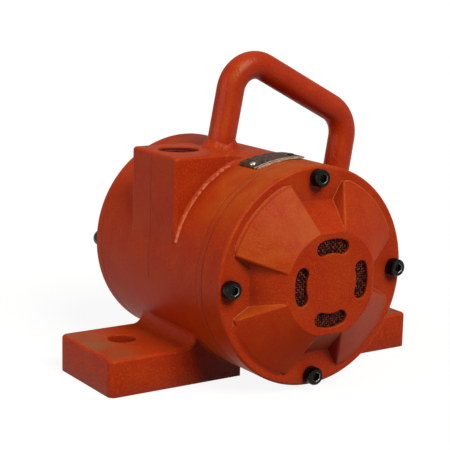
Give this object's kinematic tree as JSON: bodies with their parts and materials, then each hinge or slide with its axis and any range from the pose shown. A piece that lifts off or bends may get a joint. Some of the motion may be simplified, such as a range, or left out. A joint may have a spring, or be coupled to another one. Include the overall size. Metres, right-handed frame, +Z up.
{
  "type": "pneumatic vibration motor",
  "caption": "Foot mounted turbine vibrator in a painted cast housing, with a slotted exhaust cover, a threaded air port and a bent carrying handle.",
  "frame": {"origin": "midway between the two foot bolt holes, on the ground plane under the feet", "axes": "+X to the right along the feet, -Y out of the slotted cover, +Z up"},
  "size_m": [0.2734, 0.2151, 0.2398],
  "materials": {
    "housing_paint": "enamel sprayed over a sand cast skin",
    "cover_paint": "enamel sprayed over a sand cast skin",
    "plate_paint": "enamel sprayed over a sand cast skin",
    "handle_paint": "enamel over a bent steel bar",
    "gasket_sheet": "compressed fibre sheet with a nitrile binder",
    "screw_steel": "black oxide alloy steel, oiled",
    "muffler_wool": "knitted metal wool felt",
    "screen_steel": "woven wire, dulled by exhaust dirt",
    "bearing_steel": "ground and lapped bearing steel",
    "cage_brass": "machined",
    "spring_steel": "blued spring steel",
    "shaft_steel": "turned and ground alloy steel",
    "wheel_alloy": "turned and milled alloy",
    "weight_steel": "sawn and faced carbon steel",
    "nozzle_brass": "turned",
    "nameplate_alloy": "bare sheet, dulled",
    "rivet_steel": "bright"
  },
  "bodies": {
    "housing": {"main_housing": "housing_paint", "front_cover": "cover_paint", "rear_cover": "cover_paint", "front_bearing_plate": "plate_paint", "front_cover_gasket": "gasket_sheet", "bearing_plate_gasket": "gasket_sheet", "rear_cover_gasket": "gasket_sheet", "front_cover_screws": "screw_steel", "rear_cover_screws": "screw_steel", "muffler_pad": "muffler_wool", "exhaust_screen": "screen_steel", "preload_washer": "spring_steel", "air_nozzle": "nozzle_brass", "carry_handle": "handle_paint", "nameplate": "nameplate_alloy", "nameplate_rivets": "rivet_steel", "front_bearing_outer_ring": "bearing_steel", "rear_bearing_outer_ring": "bearing_steel"},
    "rotor": {"rotor_shaft": "shaft_steel", "turbine_wheel": "wheel_alloy", "front_eccentric_weight": "weight_steel", "rear_eccentric_weight": "weight_steel", "rotor_key": "shaft_steel", "rotor_snap_ring": "spring_steel", "front_bearing_inner_ring": "bearing_steel", "rear_bearing_inner_ring": "bearing_steel"},
    "front_cage": {"front_bearing_cage": "cage_brass", "front_bearing_rollers": "bearing_steel"},
    "rear_cage": {"rear_bearing_cage": "cage_brass", "rear_bearing_rollers": "bearing_steel"}
  },
  "joints": [
    {"name": "rotor_spin", "type": "hinge", "parent": "housing", "child": "rotor", "pos_m": [0, 0, 0.0854], "axis": [0, 1, 0], "continuous": true},
    {"name": "front_cage_spin", "type": "hinge", "parent": "housing", "child": "front_cage", "pos_m": [0, 0, 0.0854], "axis": [0, 1, 0], "continuous": true},
    {"name": "rear_cage_spin", "type": "hinge", "parent": "housing", "child": "rear_cage", "pos_m": [0, 0, 0.0854], "axis": [0, 1, 0], "continuous": true}
  ],
  "couplings": [
    {"joint": "front_cage_spin", "follows": "rotor_spin", "ratio": 0.40385},
    {"joint": "rear_cage_spin", "follows": "rotor_spin", "ratio": 0.40385}
  ]
}
